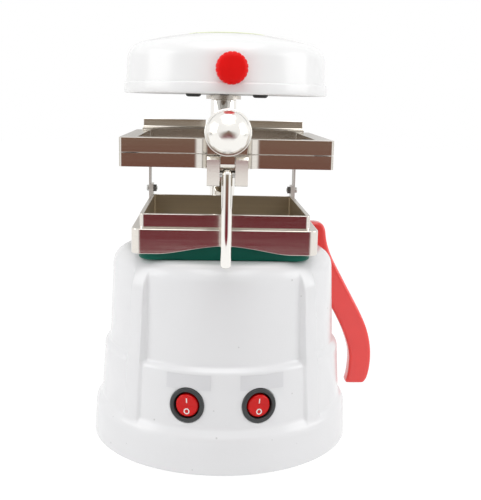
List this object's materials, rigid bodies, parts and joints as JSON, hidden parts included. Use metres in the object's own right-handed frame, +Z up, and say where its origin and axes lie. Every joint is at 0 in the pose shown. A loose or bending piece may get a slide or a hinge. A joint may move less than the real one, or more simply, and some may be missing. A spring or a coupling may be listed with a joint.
{
  "type": "dental vacuum former",
  "caption": "Bench vacuum former: stepped round base, perforated forming chamber, clamp frames on a post, ball-knob latch, swing-away heater dome and carry handle.",
  "frame": {"origin": "centre of the round non-slip sole the machine stands on, on the axis of the round base", "axes": "+Z up along the base's axis, -Y towards the user (latch knob and switches), +X to the user's right (carry handle)"},
  "size_m": [0.2179, 0.2076, 0.292],
  "materials": {
    "white_shell": "glossy white",
    "dome_white": "glossy white enamel",
    "handle_red": "glossy red",
    "knob_red": "glossy red",
    "rocker_red": "translucent red",
    "black_plastic": "fine satin",
    "rubber_dark": "matt",
    "seal_green": "soft silicone",
    "polished_steel": "polished with fine brushing",
    "chrome": "mirror",
    "zinc_screws": "zinc plated",
    "plate_aluminium": "satin",
    "nickel": "satin nickel",
    "bronze": "sintered bronze",
    "sheet_steel": "grey powder coat",
    "label_grey": "satin film",
    "label_green": "satin film",
    "beige_plastic": "moulded",
    "fan_black": "moulded",
    "motor_steel": "plain",
    "motor_core": "lacquered stack",
    "carbon": "matt",
    "heater_sheath": "heat-tinted",
    "ceramic": "glazed ceramic"
  },
  "bodies": {
    "base": {"base_shell": "white_shell", "carry_handle": "handle_red", "left_switch_body": "black_plastic", "right_switch_body": "black_plastic", "power_inlet": "black_plastic", "fuse_carrier": "black_plastic", "rubber_sole": "rubber_dark", "seal_pad": "seal_green", "forming_chamber": "polished_steel", "chamber_skirt": "polished_steel", "strap_brackets": "polished_steel", "guide_straps": "polished_steel", "post": "chrome", "stop_collar": "chrome", "base_screws": "zinc_screws", "chamber_screws": "zinc_screws", "strap_bolts": "zinc_screws", "strap_nuts": "zinc_screws", "handle_screws": "zinc_screws", "post_nut": "zinc_screws", "perforated_plate": "plate_aluminium", "bottom_plate": "sheet_steel", "label_plates": "label_grey", "terminal_block": "beige_plastic", "air_duct": "beige_plastic", "fan_housing": "fan_black", "motor_can": "motor_steel", "motor_end_cap": "motor_steel", "motor_cradle": "motor_steel", "motor_bearings": "motor_steel", "motor_stator": "motor_core", "motor_brushes": "carbon"},
    "rotor": {"motor_shaft": "motor_steel", "impeller": "fan_black"},
    "left_rocker": {"left_switch_rocker": "rocker_red"},
    "right_rocker": {"right_switch_rocker": "rocker_red"},
    "carriage": {"lower_frame": "polished_steel", "slider_bush": "bronze", "lug_pins": "zinc_screws", "guide_pins": "zinc_screws", "hinge_pins": "zinc_screws"},
    "drag_knob": {"drag_screw": "black_plastic"},
    "upper_clamp": {"upper_frame": "polished_steel", "rear_upstand": "polished_steel"},
    "latch": {"latch_lever": "polished_steel", "latch_knob": "chrome"},
    "rod": {"pull_rod": "chrome"},
    "heater_head": {"dome_shell": "dome_white", "dome_rim": "dome_white", "heater_plate": "plate_aluminium", "plate_screws": "rubber_dark", "reflector": "plate_aluminium", "heater_element": "heater_sheath", "element_insulators": "ceramic", "head_hub": "nickel", "head_arm": "nickel", "hub_bolt": "zinc_screws", "top_label": "label_green", "swing_knob": "knob_red", "knob_screw": "zinc_screws"}
  },
  "joints": [
    {"name": "rotor_spin", "type": "hinge", "parent": "base", "child": "rotor", "pos_m": [0, 0, 0.05], "axis": [0, 0, 1], "continuous": true},
    {"name": "left_rocker_tilt", "type": "hinge", "parent": "base", "child": "left_rocker", "pos_m": [-0.02343, -0.08327, 0.04614], "axis": [0.9626, -0.2709, 0], "range_deg": [-14, 0]},
    {"name": "right_rocker_tilt", "type": "hinge", "parent": "base", "child": "right_rocker", "pos_m": [0.02343, -0.08327, 0.04614], "axis": [0.9626, 0.2709, 0], "range_deg": [-14, 0]},
    {"name": "carriage_slide", "type": "slide", "parent": "base", "child": "carriage", "axis": [0, 0, 1], "range_m": [-0.041, 0]},
    {"name": "drag_knob_turn", "type": "hinge", "parent": "carriage", "child": "drag_knob", "pos_m": [0, 0.095, 0.2062], "axis": [0, 1, 0], "continuous": true},
    {"name": "upper_frame_hinge", "type": "hinge", "parent": "carriage", "child": "upper_clamp", "pos_m": [0, 0.0705, 0.214], "axis": [-1, 0, 0], "range_deg": [0, 9]},
    {"name": "latch_tilt", "type": "hinge", "parent": "carriage", "child": "latch", "pos_m": [0, -0.088, 0.2063], "axis": [1, 0, 0], "range_deg": [0, 50]},
    {"name": "rod_swing", "type": "hinge", "parent": "carriage", "child": "rod", "pos_m": [0, -0.088, 0.1993], "axis": [-1, 0, 0], "range_deg": [0, 45]},
    {"name": "head_swivel", "type": "hinge", "parent": "base", "child": "heater_head", "pos_m": [0, 0.076, 0.245], "axis": [0, 0, 1], "range_deg": [-90, 90]}
  ]
}
